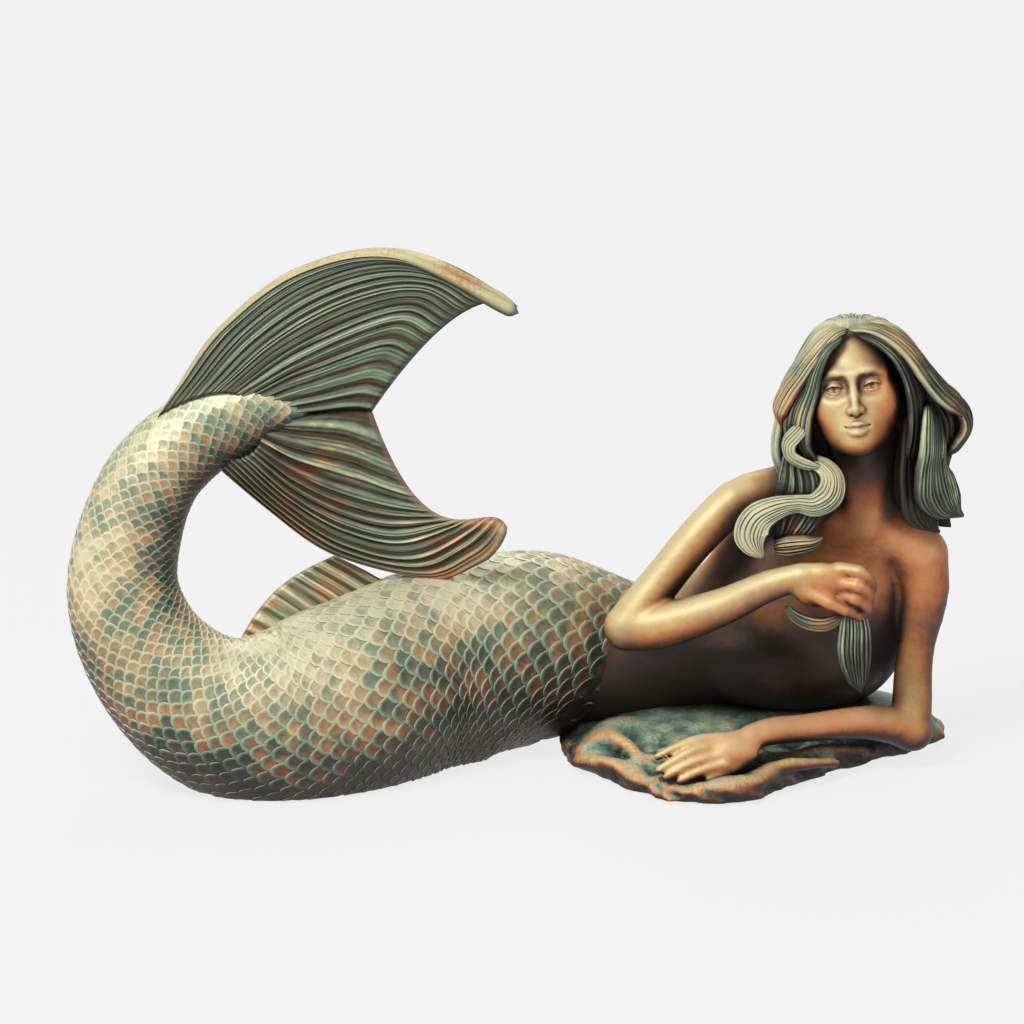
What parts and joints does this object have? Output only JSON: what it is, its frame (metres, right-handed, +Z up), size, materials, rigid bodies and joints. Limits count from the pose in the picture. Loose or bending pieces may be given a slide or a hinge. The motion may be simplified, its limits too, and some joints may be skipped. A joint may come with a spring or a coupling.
{
  "type": "mermaid figurine",
  "caption": "Reclining mermaid figurine cast in one piece, leaning on a forearm over a low rock, with a scaled tail curled up behind into a ribbed two-lobed fluke.",
  "frame": {"origin": "middle of the box's footprint, on the plane that the figurine stands on", "axes": "+X from the bend of the tail to the leaning elbow, +Y to the figure's back, +Z up; the figure looks along -Y"},
  "size_m": [0.34, 0.1148, 0.2021],
  "materials": {
    "bronze_patina": "cast resin painted as aged bronze: copper high spots, pale green and cream verdigris, dark brown in the hollows, satin"
  },
  "bodies": {
    "root": {"mermaid": "bronze_patina"}
  },
  "joints": []
}
